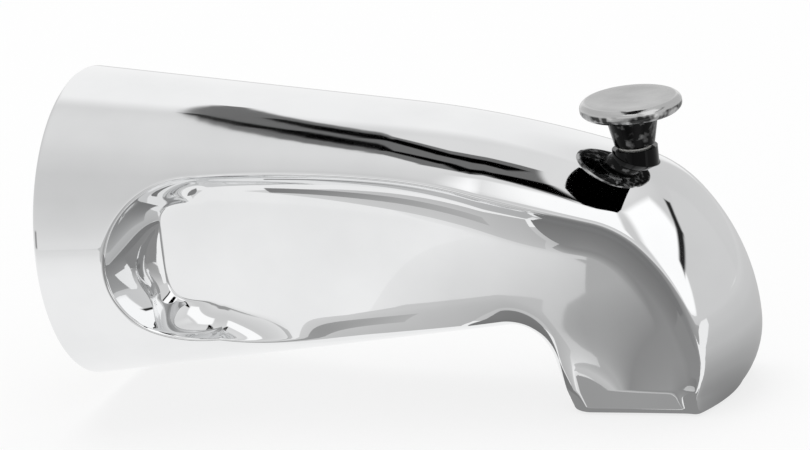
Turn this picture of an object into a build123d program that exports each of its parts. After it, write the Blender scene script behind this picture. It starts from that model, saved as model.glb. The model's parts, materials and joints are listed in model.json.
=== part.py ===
"""Wall-mounted bath spout with a pull-up diverter, in millimetres.

The origin is where the pipe's axis meets the finished wall. +X points out of the wall along
the spout, +Z is up. The spout is one casting: a tapered round bell at the wall, a waist with
scooped sides under a drooping hood, and a nozzle that points down. The knob lifts a gate over
the water port.
"""

import os
from math import atan, atan2, cos, pi, radians, sin, sqrt, tan
from typing import NamedTuple

from build123d import *

# Bell and top line
base_radius = 33.3
taper_ratio = 0.115  # loss of radius for each millimetre along the spout
straight_length = 74.0  # the top line is straight this far from the wall
droop_radius = 244.0
droop_angle = 18.7  # slope of the top line where the shoulder begins
shoulder_radius = 26.0
shoulder_angle = 50.0  # slope where the nose begins
nose_radius = 45.0
lip_radius = 20.0  # the nose curls in to the lip
mouth_drop = 37.5  # from the pipe's axis down to the mouth
hood_radius = 25.5  # of the hood's cross-section at the nose

# Scooped sides and waist; a share is of the cone's radius at the same place
scoop_start = 34.5  # where the scoop's round end runs out into the waist
scoop_top_share = 0.57  # share: height of the scoop's upper edge at its start
scoop_bottom_share = 0.672  # share: depth of the scoop's lower edge at its start
scoop_round = 12.5  # inside rounding of the scoop
waist_length = 94.7  # from the wall to where the underside bends down
waist_share = 0.58  # share: half-width of the waist at its end
keel_share = 0.533  # share: half-width of the keel where the waist ends
eave_share = 0.86  # share: half-width of the hood where the waist ends
nose_half = 17.0
lip_half = 16.5

# Nozzle
bend_radius = 11.0  # under the spout, between the waist and the nozzle
nozzle_half = 15.2
mouth_half = 16.2
nozzle_lean = 0.5  # the nozzle's back comes forward this much for each millimetre down
corner_radius = 5.0  # of the nozzle's back corners
flat_crown = 0.05  # the nozzle's flat back bulges this much
keel_band = 6.0  # height of the rounding above the keel at the end of the waist

# Casting
wall = 2.6
bulkhead_back = 12.0  # rear face of the wall that closes the waterway
bulkhead_wall = 4.5
boss_height = 2.0  # of the inlet's seat behind the bulkhead
boss_margin = 2.5

# Inlet
thread_radius = 9.15  # wall of a half inch pipe thread before it is cut
thread_length = 19.0
bushing_radius = 12.9
bushing_gap = 0.8  # beside the bushing's end in the waterway
hex_size = 28.0  # across flats
hex_thickness = 4.5
seal_width = 1.7
seal_depth = 1.4
seal_setback = 5.0  # from the seat to the middle of the seal
seat_fit = 0.05
groove_side = 0.2  # room beside the seal in its groove

# Diverter
rod_ahead = 29.3  # from the end of the waist to the lift rod
rod_radius = 2.0
rod_fit = 0.05
port_wall = 3.0
port_radius = 5.5
port_rise = 14.5  # of the water port above the web
lift = 15.0
gate_thickness = 2.0
gate_height = 18.0
gate_side = 0.8  # room beside the gate
gate_gap = 0.4  # between the washer and the port
washer_lap = 1.7  # of the washer over the port's edge
washer_thickness = 1.5
gate_boss = 3.8
boss_length = 6.5
rod_grip = 5.5  # length of rod held in the gate, and in the knob
guide_gap = 0.4
guide_thickness = 2.0
guide_reach = 2.4
screw_radius = 1.5
screw_head = 2.6
screw_length = 5.0
screw_head_height = 0.8
slot_width = 0.7
web_thickness = 3.0

# Knob
bush_radius = 3.4
bush_lip = 0.3
bush_length = 7.0  # below the pad's top
pad_radius = 4.7
pad_rise = 0.2  # of the pad's top above the hood behind it
knob_gap = 0.3
knob_radius = 10.65
knob_foot = 4.2
knob_neck = 5.6
neck_height = 6.8
disc_thickness = 3.2
disc_bevel = 0.9
dish_depth = 0.4


class Station(NamedTuple):
    """A section plane: it stands on (x, z), turned forward by an angle, with heights measured along it."""

    x: float
    z: float
    angle: float

    def place(self, side, height):
        return Vector(self.x + height * sin(self.angle), side, self.z + height * cos(self.angle))


def cone_radius(x):
    return base_radius - taper_ratio * x


def circle_drop(radius, half):
    """How far a circle falls from its crown over half a chord."""
    return radius - sqrt(radius**2 - half**2)


def blend(start, end, share):
    return start + (end - start) * share


cone_slope = atan(taper_ratio)
waist_radius = cone_radius(waist_length)
waist_half = waist_share * waist_radius
keel_half = keel_share * waist_radius
eave_half = eave_share * waist_radius
floor_start = bushing_radius + bushing_gap + wall  # half-width of the waist at the scoop's start
lean = atan(nozzle_lean)

# The underside bends down about this point
bend_x = waist_length
bend_z = -waist_radius - bend_radius


def top_arcs():
    """Arcs of the top line after its straight start: centre, radius and the slope at the end."""
    radii = (droop_radius, shoulder_radius, nose_radius, lip_radius)
    ends = (radians(droop_angle), radians(shoulder_angle), pi / 2, pi)
    start = cone_slope
    x = straight_length
    z = cone_radius(straight_length)
    arcs = []
    for radius, end in zip(radii, ends):
        centre = (x - radius * sin(start), z - radius * cos(start))
        arcs.append((centre, radius, end))
        x = centre[0] + radius * sin(end)
        z = centre[1] + radius * cos(end)
        start = end
    return arcs


def crown(station):
    """Height of the top line on a section plane."""
    if station.angle == 0 and station.x <= straight_length:
        return cone_radius(station.x) - station.z
    for centre, radius, last in top_arcs():
        across = centre[0] - station.x
        along = centre[1] - station.z
        ahead = across * sin(station.angle) + along * cos(station.angle)
        reach = radius**2 - across**2 - along**2 + ahead**2
        if reach < 0:
            continue
        height = ahead + sqrt(reach)
        hit = station.place(0, height)
        if atan2(hit.X - centre[0], hit.Z - centre[1]) <= last:
            break
    return height


class Form(NamedTuple):
    """Sizes of one outer section: crown, hood edge, scoop floor, keel edge and underside."""

    crown: float
    hood: float
    edge: float
    edge_height: float
    floor: float
    floor_top: float
    floor_bottom: float
    keel: float
    keel_height: float
    under: float


def scoop_rise(offset):
    """Height over which the scoop's rounding moves sideways by an offset."""
    return sqrt(2 * scoop_round * offset - offset**2)


def waist_form(x):
    """Section of the waist at a distance from the wall."""
    station = Station(x, bend_z, 0.0)
    share = (x - scoop_start) / (waist_length - scoop_start)
    radius = cone_radius(x)
    first = cone_radius(scoop_start)
    first_edge = first * sqrt(1 - scoop_top_share**2)
    first_keel = first * sqrt(1 - scoop_bottom_share**2)
    floor = blend(floor_start, waist_half, (1 - cos(pi * share)) / 2)
    edge = blend(eave_half, first_edge, (1 - share) ** 2)
    edge_height = crown(station) - circle_drop(radius, edge)
    keel = blend(keel_half, first_keel, (1 - share) ** 3)
    under = -radius - bend_z
    keel_height = under + circle_drop(radius, keel)
    band = blend(keel_band, scoop_rise(first_keel - floor_start), (1 - share) ** 2)
    return Form(
        crown(station), radius, edge, edge_height, floor, edge_height - scoop_rise(edge - floor),
        keel_height + band, keel, keel_height, under,
    )


def bend_form(angle):
    """Section where the spout bends down into its nozzle."""
    station = Station(bend_x, bend_z, angle)
    share = angle / (pi / 2)
    edge = blend(eave_half, nose_half, share**2)
    hood = blend(waist_radius, hood_radius, share**3)
    edge_height = crown(station) - circle_drop(hood, edge)
    floor = blend(waist_half, nozzle_half, share**3)
    keel = floor - blend(waist_half - keel_half, corner_radius, share)
    back = bend_radius / cos(max(0.0, angle + lean - pi / 2))
    keel_height = back + circle_drop(waist_radius, keel_half) * cos(angle) ** 2
    band = blend(keel_band, corner_radius, share)
    return Form(
        crown(station), hood, edge, edge_height, floor, edge_height - scoop_rise(edge - floor),
        keel_height + band, keel, keel_height, back - flat_crown * share,
    )


def nozzle_form(z):
    """Level section of the nozzle below the bend."""
    share = (bend_z - z) / (bend_z + mouth_drop)
    above = bend_form(pi / 2)
    edge = blend(nose_half, lip_half, share)
    top = crown(Station(bend_x, z, pi / 2))
    drop = top - above.edge_height
    hood = (edge**2 + drop**2) / (2 * drop)
    floor = blend(nozzle_half, mouth_half, share)
    back = bend_radius / cos(lean) + nozzle_lean * (bend_z - z)
    return Form(
        top, hood, edge, above.edge_height, floor, above.edge_height - scoop_rise(edge - floor),
        back + corner_radius, floor - corner_radius, back, back - flat_crown,
    )


def waist_rows(count):
    """Section planes along the waist, each with its form."""
    places = [blend(scoop_start, waist_length, n / count) for n in range(count + 1)]
    return [(Station(x, bend_z, 0.0), waist_form(x)) for x in places]


def bend_rows(count):
    angles = [n * pi / 2 / count for n in range(count + 1)]
    return [(Station(bend_x, bend_z, angle), bend_form(angle)) for angle in angles]


def nozzle_rows(count):
    levels = [blend(bend_z, -mouth_drop, n / count) for n in range(count + 1)]
    return [(Station(bend_x, z, pi / 2), nozzle_form(z)) for z in levels]


def tangent_arc(start, end):
    """Middle of an arc from start to end that leaves start straight along the scoop's floor."""
    across = end[0] - start[0]
    along = end[1] - start[1]
    turn = atan2(abs(across), abs(along))
    bulge = tan(turn / 2) / 2
    side = 1 if across * along < 0 else -1
    return ((start[0] + end[0]) / 2 + side * bulge * along, (start[1] + end[1]) / 2 - side * bulge * across)


def side_edges(station, form, side):
    """Scoop's rounding, floor and keel rounding on one side of a section."""
    edge = (form.edge, form.edge_height)
    floor_top = (form.floor, form.floor_top)
    floor_bottom = (form.floor, form.floor_bottom)
    keel = (form.keel, form.keel_height)
    upper = [edge, tangent_arc(floor_top, edge), floor_top]
    lower = [floor_bottom, tangent_arc(floor_bottom, keel), keel]
    spots = [station.place(side * across, height) for across, height in upper + lower]
    return [ThreePointArc(*spots[:3]), Line(*spots[2:4]), ThreePointArc(*spots[3:])]


def arc_over(station, half, end_height, height):
    """Arc across a section from its right-hand end over the middle to its left-hand end."""
    ends = [station.place(side * half, end_height) for side in (1, -1)]
    return ThreePointArc(ends[0], station.place(0, height), ends[1])


def outer_face(station, form):
    """The casting's outline on a section plane."""
    hood = arc_over(station, form.edge, form.edge_height, form.crown)
    keel = arc_over(station, form.keel, form.keel_height, form.under)
    right = side_edges(station, form, 1)
    left = side_edges(station, form, -1)
    return make_face(Wire([hood, *right, keel, *left]))


def inner_face(station, form):
    """The waterway's outline on a section plane."""
    half = form.floor - wall
    top = form.crown - wall
    bottom = form.under + wall
    top_end = top - circle_drop(form.hood - wall, half)
    bottom_end = bottom + (form.keel_height - form.under) * (half / form.keel) ** 2
    sides = [
        Line(station.place(across, bottom_end), station.place(across, top_end)) for across in (half, -half)
    ]
    roof = arc_over(station, half, top_end, top)
    base = arc_over(station, half, bottom_end, bottom)
    return make_face(Wire([roof, sides[0], base, sides[1]]))


def skin():
    """The casting's outside from the scoop's start to the mouth."""
    parts = (waist_rows(5), bend_rows(12), nozzle_rows(2))
    return Part() + [loft([outer_face(*row) for row in rows]) for rows in parts]


def x_cylinder(radius, start, end, z=0.0):
    return Pos((start + end) / 2, 0, z) * Rot(0, 90, 0) * Cylinder(radius, end - start)


def x_ring(inner, outer, start, end):
    return x_cylinder(outer, start, end) - x_cylinder(inner, start, end)


def x_cone(start_radius, end_radius, start, end):
    return Pos((start + end) / 2, 0, 0) * Rot(0, 90, 0) * Cone(start_radius, end_radius, end - start)


def block(start, end, half, low, high):
    return Pos((start + end) / 2, 0, (low + high) / 2) * Box(end - start, 2 * half, high - low)


def post(radius, low, high):
    """Upright cylinder on the lift rod's axis."""
    return Pos(rod_x, 0, (low + high) / 2) * Cylinder(radius, high - low)


def scoop_end():
    """The scoop's round end, to be cut from one side of the bell."""
    form = waist_form(scoop_start)
    middle = (form.floor_top + form.floor_bottom) / 2
    flat = (form.floor_top - form.floor_bottom) / 2
    depth = base_radius + wall
    drum = Pos(0, floor_start + depth / 2, 0) * Rot(90, 0, 0) * Cylinder(flat + scoop_round, depth)
    floor_edge = drum.edges().filter_by(GeomType.CIRCLE).sort_by(Axis.Y)[0]
    return Pos(scoop_start, 0, bend_z + middle) * fillet(floor_edge, scoop_round)


def bell():
    cone = x_cone(base_radius, cone_radius(scoop_start), 0, scoop_start)
    end = scoop_end()
    return cone - end - mirror(end, Plane.XZ)


# Places that the inner parts share
bulkhead_front = bulkhead_back + bulkhead_wall
seat_x = bulkhead_back - boss_height
bushing_hole = bushing_radius + seat_fit
seal_x = seat_x + seal_setback
groove_floor = bushing_radius - seal_depth - seat_fit
rod_x = waist_length + rod_ahead
web_top = wall - waist_radius  # level with the waterway's floor
port_height = web_top + port_rise
gate_front = rod_x - rod_radius - 2 * rod_fit
gate_back = gate_front - gate_thickness
gate_half = waist_half - wall - gate_side
gate_middle = port_height - lift
gate_top = gate_middle + gate_height / 2
gate_bottom = gate_middle - gate_height / 2
washer_face = gate_back - washer_thickness
port_front = washer_face - gate_gap
port_back = port_front - port_wall
guide_back = gate_front + guide_gap
guide_front = guide_back + guide_thickness
guide_half = gate_half + guide_gap - guide_reach
pad_height = bend_z + crown(Station(rod_x - pad_radius, bend_z, 0.0)) + pad_rise
bush_top = pad_height + bush_lip
bush_bottom = pad_height - bush_length
knob_base = bush_top + knob_gap
knob_top = knob_base + neck_height + disc_thickness


def partition():
    """The wall with the water port, the web that joins it to the nozzle's back, and the gate's guides."""
    port_plate = block(port_back, port_front, base_radius, web_top - web_thickness, base_radius)
    web = block(bend_x, port_front, base_radius, web_top - web_thickness, web_top)
    guides = block(guide_back, guide_front, base_radius, gate_bottom - guide_reach, gate_top + lift)
    opening = block(guide_back, guide_front, guide_half, -mouth_drop, base_radius)
    return port_plate + web + (guides - opening)


def waterway():
    rows = waist_rows(1) + bend_rows(3)[1:] + nozzle_rows(1)[1:]
    faces = [inner_face(*row) for row in rows]
    inner = loft(faces, ruled=True)
    inner += extrude(faces[0], scoop_start - bulkhead_front, dir=(-1, 0, 0))
    inner += extrude(faces[-1], wall, dir=(0, 0, -1))
    return inner - partition()


def spout_body():
    """The casting, with its waterway, inlet seat, water port and the knob's pad."""
    rear = x_cone(base_radius - wall, cone_radius(bulkhead_back) - wall, 0, bulkhead_back)
    boss = x_cylinder(bushing_radius + boss_margin, seat_x, bulkhead_back)
    hole = x_cylinder(bushing_hole, seat_x, bulkhead_front)
    port = x_cylinder(port_radius, port_back, port_front, port_height)
    pad = post(pad_radius, 0, pad_height)
    bush_hole = post(bush_radius + seat_fit, gate_top, pad_height)
    return bell() + skin() + pad - waterway() - rear + boss - hole - port - bush_hole


def inlet_bushing():
    """Bushing that screws on the wall pipe, with a hexagon behind its seat and a groove for the seal."""
    start = seat_x - hex_thickness
    hexagon = Rot(0, 90, 0) * RegularPolygon(hex_size / 2, 6, major_radius=False)
    head = Pos(start, 0, 0) * extrude(hexagon, hex_thickness, dir=(1, 0, 0))
    shank = x_cylinder(bushing_radius, seat_x, start + thread_length)
    bore = x_cylinder(thread_radius, start, start + thread_length)
    half = seal_width / 2 + groove_side
    groove = x_ring(groove_floor, bushing_hole, seal_x - half, seal_x + half)
    return head + shank - bore - groove


def inlet_seal():
    """Flat-sided seal ring that fills the bushing's groove."""
    half = seal_width / 2
    return x_ring(groove_floor + seat_fit, bushing_radius, seal_x - half, seal_x + half)


def rod_bush():
    """Sleeve that guides the lift rod through the hood."""
    sleeve = post(bush_radius, bush_bottom, bush_top)
    return sleeve - post(rod_radius + rod_fit, bush_bottom, bush_top)


def lift_rod():
    return post(rod_radius, gate_top - rod_grip, knob_base + rod_grip)


def diverter_gate():
    """Plate that hangs from the lift rod, with a boss for the rod and a hole for the washer's screw."""
    plate = block(gate_back, gate_front, gate_half, gate_bottom, gate_top)
    boss = post(gate_boss, gate_top - boss_length, gate_top) & block(
        gate_back, rod_x + gate_boss, gate_half, gate_bottom, gate_top
    )
    rod_hole = post(rod_radius + seat_fit, gate_top - rod_grip, gate_top)
    screw_hole = x_cylinder(screw_radius + seat_fit, gate_back, gate_front, gate_middle)
    return plate + boss - rod_hole - screw_hole


def gate_washer():
    """Rubber disc that closes the water port."""
    disc = x_cylinder(port_radius + washer_lap, washer_face, gate_back, gate_middle)
    hole = x_cylinder(screw_radius + seat_fit, washer_face, gate_back, gate_middle)
    recess = x_cylinder(screw_head + seat_fit, washer_face, washer_face + screw_head_height, gate_middle)
    return disc - hole - recess


def washer_screw():
    head = x_cylinder(screw_head, washer_face, washer_face + screw_head_height, gate_middle)
    shank = x_cylinder(screw_radius, washer_face, washer_face + screw_length, gate_middle)
    slot_end = washer_face + screw_head_height / 2
    slot_half = slot_width / 2
    slot = block(washer_face, slot_end, screw_head, gate_middle - slot_half, gate_middle + slot_half)
    return head + shank - slot


def lift_knob():
    """Turned knob: a flared neck under a disc with bevelled edges and a shallow dish on top."""
    under = knob_base + neck_height
    rim = knob_radius - disc_bevel
    dish = rim - 2 * disc_bevel
    neck = [(0, knob_base), (knob_foot, knob_base), (knob_neck, under)]
    edge = [(rim, under), (knob_radius, under + disc_bevel), (knob_radius, knob_top - disc_bevel)]
    top = [(rim, knob_top), (dish, knob_top), (0, knob_top - dish_depth)]
    outline = Polyline(*neck, *edge, *top, close=True)
    turned = Pos(rod_x, 0, 0) * revolve(make_face(Plane.XZ * outline), Axis.Z)
    return turned - post(rod_radius + seat_fit, knob_base, knob_base + rod_grip)


pieces = (
    spout_body, inlet_bushing, inlet_seal, rod_bush,
    lift_rod, diverter_gate, gate_washer, washer_screw, lift_knob,
)

os.makedirs("parts", exist_ok=True)
for piece in pieces:
    export_step(piece(), f"parts/{piece.__name__}.step")
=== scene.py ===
import json
import math

import bmesh
import bpy
from mathutils import Matrix, Vector
from mathutils.bvhtree import BVHTree


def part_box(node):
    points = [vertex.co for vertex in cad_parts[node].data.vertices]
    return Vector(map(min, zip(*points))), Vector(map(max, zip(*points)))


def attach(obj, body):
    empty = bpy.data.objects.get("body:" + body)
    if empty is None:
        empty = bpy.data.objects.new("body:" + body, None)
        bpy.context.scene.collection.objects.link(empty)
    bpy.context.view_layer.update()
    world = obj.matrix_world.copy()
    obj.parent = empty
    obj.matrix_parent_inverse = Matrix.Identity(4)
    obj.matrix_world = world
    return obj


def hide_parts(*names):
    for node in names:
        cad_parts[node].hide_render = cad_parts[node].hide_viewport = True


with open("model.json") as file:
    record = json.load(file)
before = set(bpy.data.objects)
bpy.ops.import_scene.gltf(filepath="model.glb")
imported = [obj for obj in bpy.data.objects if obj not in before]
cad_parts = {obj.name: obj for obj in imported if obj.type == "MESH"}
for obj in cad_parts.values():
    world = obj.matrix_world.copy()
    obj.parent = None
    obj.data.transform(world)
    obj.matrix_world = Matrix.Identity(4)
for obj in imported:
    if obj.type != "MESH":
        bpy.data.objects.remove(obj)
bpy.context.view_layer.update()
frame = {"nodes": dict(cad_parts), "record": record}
nodes = frame["nodes"]
mm = 0.001
quarter = math.pi / 2
print("frame loaded:", len(nodes), "nodes")


# shared helpers

def between(start, end, share):
    return start + (end - start) * share


def circleDrop(radius, half):
    return radius - math.sqrt(radius * radius - half * half)


def newObject(name, data):
    made = bpy.data.objects.new(name, data)
    bpy.context.scene.collection.objects.link(made)
    return made


def meshObject(name, bm):
    mesh = bpy.data.meshes.new(name)
    bm.to_mesh(mesh)
    bm.free()
    return newObject(name, mesh)


def addNode(tree, kind, **values):
    # values are for the inputs of the same name
    node = tree.nodes.new(kind)
    for label, value in values.items():
        node.inputs[label].default_value = value
    return node


def addSockets(tree, way, kind, *labels):
    for label in labels:
        tree.interface.new_socket(label, in_out=way, socket_type="NodeSocket" + kind)


def smoothBy(made, degrees):
    # normals kept from the CAD mesh don't fit faces that have been taken out of it
    stored = made.data.attributes.get("custom_normal")
    if stored:
        made.data.attributes.remove(stored)
    made.data.shade_smooth()
    made.data.set_sharp_from_angle(angle=math.radians(degrees))


def resample(points, count):
    # count steps of even length along a polyline, both ends kept
    lengths = [0.0]
    for a, b in zip(points, points[1:]):
        lengths.append(lengths[-1] + (b - a).length)
    out = []
    spot = 0
    for n in range(count + 1):
        want = lengths[-1] * n / count
        while spot < len(points) - 2 and lengths[spot + 1] < want:
            spot += 1
        step = lengths[spot + 1] - lengths[spot]
        share = (want - lengths[spot]) / step if step > 0 else 0.0
        out.append(points[spot].lerp(points[spot + 1], min(1.0, share)))
    return out


def trimEnd(points, cut, most=0.9):
    # takes a length off the end of a polyline, but no more than most of the piece it ends in
    left = list(points)
    while len(left) > 2 and (left[-1] - left[-2]).length < cut:
        cut -= (left[-1] - left[-2]).length
        left.pop()
    last = left[-1] - left[-2]
    left[-1] = left[-1] - last.normalized() * min(cut, last.length * most)
    return left


def cornerCurve(first, corner, last, steps):
    # leaves the first point towards the corner and reaches the last one from it
    curve = []
    for n in range(steps + 1):
        t = n / steps
        curve.append(first * (1 - t) ** 2 + corner * 2 * t * (1 - t) + last * t * t)
    return curve


def roundCorner(before, after, cut, steps):
    # two polylines that meet, cut short, and the soft corner between them
    a = trimEnd(before, cut)
    b = trimEnd(after[::-1], cut)[::-1]
    return a, cornerCurve(a[-1], before[-1], b[0], steps), b


# casting: its outside is one quad net that follows the same rules as the solid

spout = {
    "baseRadius": 33.3, "taper": 0.115, "straight": 74.0,  # cone from the wall to the hood's bend
    "arcRadii": (244.0, 26.0, 45.0, 20.0), "arcEnds": (18.7, 50.0, 90.0, 180.0),  # top line, ends in degrees
    "scoopStart": 34.5, "scoopTop": 0.57, "scoopBottom": 0.672, "scoopRound": 12.5, "floorStart": 16.3,
    "waistLength": 94.7, "waistShare": 0.58, "keelShare": 0.533, "eaveShare": 0.86,
    "hoodRadius": 25.5, "noseHalf": 17.0, "lipHalf": 16.5, "lipCentre": 28.0, "mouthDrop": 37.5,
    "bendRadius": 11.0, "nozzleHalf": 15.2, "mouthHalf": 16.2, "nozzleLean": 0.5,
    "cornerRadius": 5.0, "flatCrown": 0.05, "keelBand": 6.0,
    "softEdge": 1.1, "softKeel": 0.9, "softRim": 0.6, "softFoot": 0.5,  # roundings of the edges
    "scoopTrim": 3.8, "endReach": 12.5, "endSquare": 5.0,  # scoop's round end: taller floor and outline
    "creaseTurn": 12.0, "creaseFrom": 0.64,  # bend of the steep end wall, and where its crease is fully sharp
    "floorSteps": 6, "footSteps": 4, "roundSteps": 14, "edgeSteps": 6, "hoodSteps": 30, "rimSteps": 4,
    "bellSteps": 128, "waistSteps": 44, "bendSteps": 56, "nozzleSteps": 5,
    "arcSteps": 60, "capSteps": 80, "wallSteps": 12, "halvings": 50,
    "weld": 0.002, "skinGap": 0.35, "flatGap": 0.05, "openGap": 0.02, "sharpTurn": 32,
}


def coneRadius(x):
    return spout["baseRadius"] - spout["taper"] * x


waistRadius = coneRadius(spout["waistLength"])
waistHalf = spout["waistShare"] * waistRadius
keelHalf = spout["keelShare"] * waistRadius
eaveHalf = spout["eaveShare"] * waistRadius
lean = math.atan(spout["nozzleLean"])
bendX = spout["waistLength"]
bendZ = -waistRadius - spout["bendRadius"]


def topArcs():
    # each arc of the top line goes on from the last: centre, radius and end angle
    start, x, z = math.atan(spout["taper"]), spout["straight"], coneRadius(spout["straight"])
    arcs = []
    for radius, degrees in zip(spout["arcRadii"], spout["arcEnds"]):
        end = math.radians(degrees)
        cx, cz = x - radius * math.sin(start), z - radius * math.cos(start)
        arcs.append((cx, cz, radius, end))
        x, z, start = cx + radius * math.sin(end), cz + radius * math.cos(end), end
    return arcs


hoodArcs = topArcs()


def crownAt(x, z, angle):
    # height of the top line along a section plane that stands on (x, z)
    if angle == 0 and x <= spout["straight"]:
        return coneRadius(x) - z
    for cx, cz, radius, last in hoodArcs:
        across, along = cx - x, cz - z
        ahead = across * math.sin(angle) + along * math.cos(angle)
        reach = radius ** 2 - across ** 2 - along ** 2 + ahead ** 2
        if reach < 0:
            continue
        height = ahead + math.sqrt(reach)
        if math.atan2(x + height * math.sin(angle) - cx, z + height * math.cos(angle) - cz) <= last:
            break
    return height


def scoopRise(offset):
    return math.sqrt(2 * spout["scoopRound"] * offset - offset ** 2)


def waistForm(x, trim):
    # trim makes the floor taller near the scoop's round end; the solid has none
    start, firstFloor = spout["scoopStart"], spout["floorStart"]
    share = (x - start) / (spout["waistLength"] - start)
    radius, first = coneRadius(x), coneRadius(start)
    firstEdge = first * math.sqrt(1 - spout["scoopTop"] ** 2)
    firstKeel = first * math.sqrt(1 - spout["scoopBottom"] ** 2)
    floor = between(firstFloor, waistHalf, (1 - math.cos(math.pi * share)) / 2)
    edge = between(eaveHalf, firstEdge, (1 - share) ** 2)
    crown = crownAt(x, bendZ, 0.0)
    edgeHeight = crown - circleDrop(radius, edge)
    keel = between(keelHalf, firstKeel, (1 - share) ** 3)
    under = -radius - bendZ
    keelHeight = under + circleDrop(radius, keel)
    taller = trim * (1 - share) ** 2
    rise = scoopRise(edge - floor) - taller
    band = between(spout["keelBand"], scoopRise(firstKeel - firstFloor), (1 - share) ** 2) - taller
    return dict(crown=crown, edge=edge, edgeHeight=edgeHeight, floor=floor, floorTop=edgeHeight - rise,
                floorBottom=keelHeight + band, keel=keel, keelHeight=keelHeight, under=under)


def bendForm(angle):
    share = angle / quarter
    edge = between(eaveHalf, spout["noseHalf"], share ** 2)
    hood = between(waistRadius, spout["hoodRadius"], share ** 3)
    crown = crownAt(bendX, bendZ, angle)
    edgeHeight = crown - circleDrop(hood, edge)
    floor = between(waistHalf, spout["nozzleHalf"], share ** 3)
    keel = floor - between(waistHalf - keelHalf, spout["cornerRadius"], share)
    back = spout["bendRadius"] / math.cos(max(0.0, angle + lean - quarter))
    keelHeight = back + circleDrop(waistRadius, keelHalf) * math.cos(angle) ** 2
    band = between(spout["keelBand"], spout["cornerRadius"], share)
    return dict(crown=crown, edge=edge, edgeHeight=edgeHeight, floor=floor,
                floorTop=edgeHeight - scoopRise(edge - floor), floorBottom=keelHeight + band,
                keel=keel, keelHeight=keelHeight, under=back - spout["flatCrown"] * share)


def nozzleForm(z):
    share = (bendZ - z) / (bendZ + spout["mouthDrop"])
    edgeHeight = bendForm(quarter)["edgeHeight"]
    edge = between(spout["noseHalf"], spout["lipHalf"], share)
    floor = between(spout["nozzleHalf"], spout["mouthHalf"], share)
    back = spout["bendRadius"] / math.cos(lean) + spout["nozzleLean"] * (bendZ - z)
    return dict(crown=crownAt(bendX, z, quarter), edge=edge, edgeHeight=edgeHeight, floor=floor,
                floorTop=edgeHeight - scoopRise(edge - floor), floorBottom=back + spout["cornerRadius"],
                keel=floor - spout["cornerRadius"], keelHeight=back, under=back - spout["flatCrown"])


def tangentArc(start, end):
    # leaves start straight along the floor and bends to end
    steps = spout["arcSteps"]
    dx, dz = end[0] - start[0], end[1] - start[1]
    if abs(dx) < spout["weld"]:
        return [(start[0], start[1] + dz * n / steps) for n in range(steps + 1)]
    radius = (dx * dx + dz * dz) / (2 * abs(dx))
    turn = 2 * math.atan2(abs(dx), abs(dz))
    sx, sz = math.copysign(1, dx), math.copysign(1, dz)
    out = []
    for n in range(steps + 1):
        t = turn * n / steps
        out.append((start[0] + sx * radius * (1 - math.cos(t)), start[1] + sz * radius * math.sin(t)))
    return out


def capArc(half, endHeight, middleHeight):
    # from the end of a section's crown or keel to its middle
    steps = spout["capSteps"]
    drop = abs(middleHeight - endHeight)
    radius = (half * half + drop * drop) / (2 * drop)
    turn = math.atan2(half, radius - drop)
    way = math.copysign(1, middleHeight - endHeight)
    out = []
    for n in range(steps + 1):
        t = turn * (1 - n / steps)
        out.append((radius * math.sin(t), middleHeight - way * radius * (1 - math.cos(t))))
    return out


def lineOf(flat, rounding, cap, soft):
    # one line of the net: floor, foot of the wall, scoop rounding, soft edge, then hood or keel
    flat, foot, rounding = roundCorner(flat, rounding, spout["softFoot"], spout["footSteps"])
    rounding, curve, cap = roundCorner(rounding, cap, soft, spout["edgeSteps"])
    return (resample(flat, spout["floorSteps"]) + foot[1:] + resample(rounding, spout["roundSteps"])[1:]
            + curve[1:] + resample(cap, spout["hoodSteps"])[1:])


def sectionLines(x, z, angle, form):
    # the two lines of a section, from the middle of its floor over the hood and under the keel
    def place(points):
        return [Vector((x + h * math.sin(angle), s, z + h * math.cos(angle))) for s, h in points]

    middle = (form["floor"], (form["floorTop"] + form["floorBottom"]) / 2)
    lines = []
    for foot, side, height, far, soft in (("floorTop", "edge", "edgeHeight", "crown", "softEdge"),
                                          ("floorBottom", "keel", "keelHeight", "under", "softKeel")):
        start, end = (form["floor"], form[foot]), (form[side], form[height])
        cap = capArc(form[side], form[height], form[far])
        lines.append(lineOf(place([middle, start]), place(tangentArc(start, end)), place(cap), spout[soft]))
    return lines


def conePoint(x, turn):
    return Vector((x, coneRadius(x) * math.sin(turn), coneRadius(x) * math.cos(turn)))


def wallArc(foot, rim, turn):
    # an arc from the wall's foot to its rim that turns by twice the given angle
    steps = spout["arcSteps"]
    across, deep = rim[0] - foot[0], rim[1] - foot[1]
    chord, slope = math.hypot(across, deep), math.atan2(deep, across)
    first, radius = slope - turn, chord / (2 * math.sin(turn))
    out = []
    for n in range(steps + 1):
        angle = first + 2 * turn * n / steps
        out.append((foot[0] + radius * (math.sin(angle) - math.sin(first)),
                    foot[1] + radius * (math.cos(first) - math.cos(angle))))
    return out


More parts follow.
